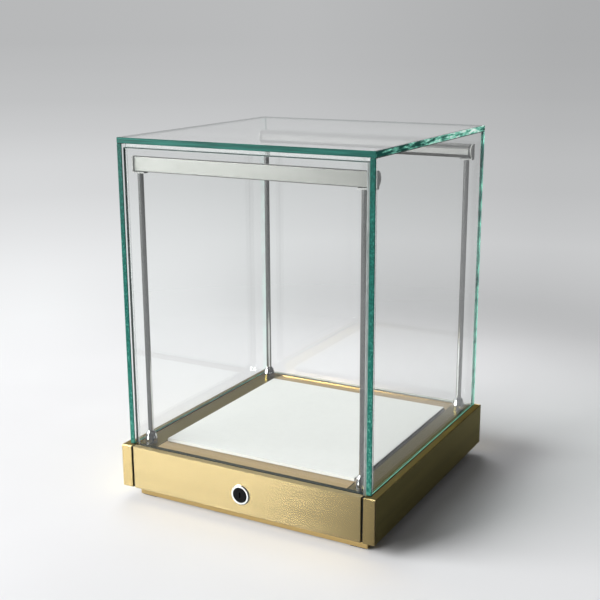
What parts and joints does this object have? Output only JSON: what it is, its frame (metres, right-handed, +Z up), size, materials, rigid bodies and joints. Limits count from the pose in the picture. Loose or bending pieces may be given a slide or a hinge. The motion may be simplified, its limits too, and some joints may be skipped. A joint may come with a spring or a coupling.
{
  "type": "countertop display case",
  "caption": "Square lit glass showcase for a table top: brass-coloured base, green-edged glass hood, lockable pull-out front with white display board, tilting light bars on slim posts.",
  "frame": {"origin": "centre of the footprint, on the surface that the foot pads stand on", "axes": "+Z up, +X to the right as the front is faced, front with the lock towards -Y"},
  "size_m": [0.4, 0.404, 0.519],
  "materials": {
    "brushed_brass": "brushed along its length and anodised brass colour",
    "brass_end": "brushed upright and anodised brass colour",
    "brass_plinth": "brushed and anodised deeper brass colour",
    "brass_deck": "brushed sheet, anodised brass colour, half gloss",
    "clear_glass": "clear float glass with a green edge, ground arrises",
    "display_board": "off-white, matt",
    "satin_aluminium": "satin anodised",
    "black_aluminium": "black anodised",
    "clear_silicone": "clear, slightly milky",
    "polished_steel": "polished",
    "zinc_steel": "zinc plated",
    "black_rubber": "matt",
    "black_plastic": "matt",
    "lock_black": "black, half gloss",
    "light_diffuser": "opal",
    "led_board": "white circuit strip",
    "driver_case": "pale grey, matt",
    "lead_sheath": "black sheath"
  },
  "bodies": {
    "case": {"side_wall_left": "brushed_brass", "side_wall_right": "brushed_brass", "rear_wall": "brushed_brass", "wall_end_caps": "brass_end", "plinth": "brass_plinth", "deck_strip_left": "brass_deck", "deck_strip_right": "brass_deck", "deck_strip_rear": "brass_deck", "glass_left": "clear_glass", "glass_right": "clear_glass", "glass_rear": "clear_glass", "glass_top": "clear_glass", "bar_brackets_front": "satin_aluminium", "bar_brackets_rear": "satin_aluminium", "hood_seals": "clear_silicone", "light_post_front_left": "polished_steel", "light_post_front_right": "polished_steel", "light_post_rear_left": "polished_steel", "light_post_rear_right": "polished_steel", "post_collars": "polished_steel", "base_pan": "zinc_steel", "wall_angles": "zinc_steel", "deck_bearer_left": "zinc_steel", "deck_bearer_right": "zinc_steel", "deck_bearer_rear": "zinc_steel", "runner_outers": "zinc_steel", "lock_strike": "zinc_steel", "post_nuts": "zinc_steel", "wall_screws": "zinc_steel", "foot_pads": "black_rubber", "fascia_seals": "black_rubber", "glazing_tape": "black_rubber", "cable_inlet": "black_plastic", "led_driver": "driver_case", "wiring_leads": "lead_sheath"},
    "runner_middle": {"runner_middles": "zinc_steel"},
    "drawer": {"fascia": "brushed_brass", "glass_front": "clear_glass", "setting_blocks": "black_rubber", "clamp_rail": "black_aluminium", "front_screws": "zinc_steel", "drawer_side_left": "zinc_steel", "drawer_side_right": "zinc_steel", "drawer_cross_rail": "zinc_steel", "deck_panel": "brass_deck", "display_board": "display_board", "runner_inners": "zinc_steel", "lock_barrel": "polished_steel", "lock_nut": "zinc_steel"},
    "lock": {"lock_plug": "lock_black", "lock_cam": "zinc_steel"},
    "front_bar": {"bar_profile_front": "satin_aluminium", "bar_diffuser_front": "light_diffuser", "led_strip_front": "led_board", "bar_end_caps_front": "black_plastic"},
    "rear_bar": {"bar_profile_rear": "satin_aluminium", "bar_diffuser_rear": "light_diffuser", "led_strip_rear": "led_board", "bar_end_caps_rear": "black_plastic"}
  },
  "joints": [
    {"name": "drawer_slide", "type": "slide", "parent": "case", "child": "drawer", "axis": [0, -1, 0], "range_m": [0, 0.3]},
    {"name": "runner_slide", "type": "slide", "parent": "case", "child": "runner_middle", "axis": [0, -1, 0], "range_m": [0, 0.15]},
    {"name": "lock_turn", "type": "hinge", "parent": "drawer", "child": "lock", "pos_m": [0, -0.2, 0.046], "axis": [0, 1, 0], "range_deg": [0, 90]},
    {"name": "front_bar_tilt", "type": "hinge", "parent": "case", "child": "front_bar", "pos_m": [0, -0.168, 0.483], "axis": [-1, 0, 0], "range_deg": [-5, 50]},
    {"name": "rear_bar_tilt", "type": "hinge", "parent": "case", "child": "rear_bar", "pos_m": [0, 0.168, 0.483], "axis": [1, 0, 0], "range_deg": [-5, 50]}
  ],
  "couplings": [
    {"joint": "runner_slide", "follows": "drawer_slide", "ratio": 0.5}
  ]
}
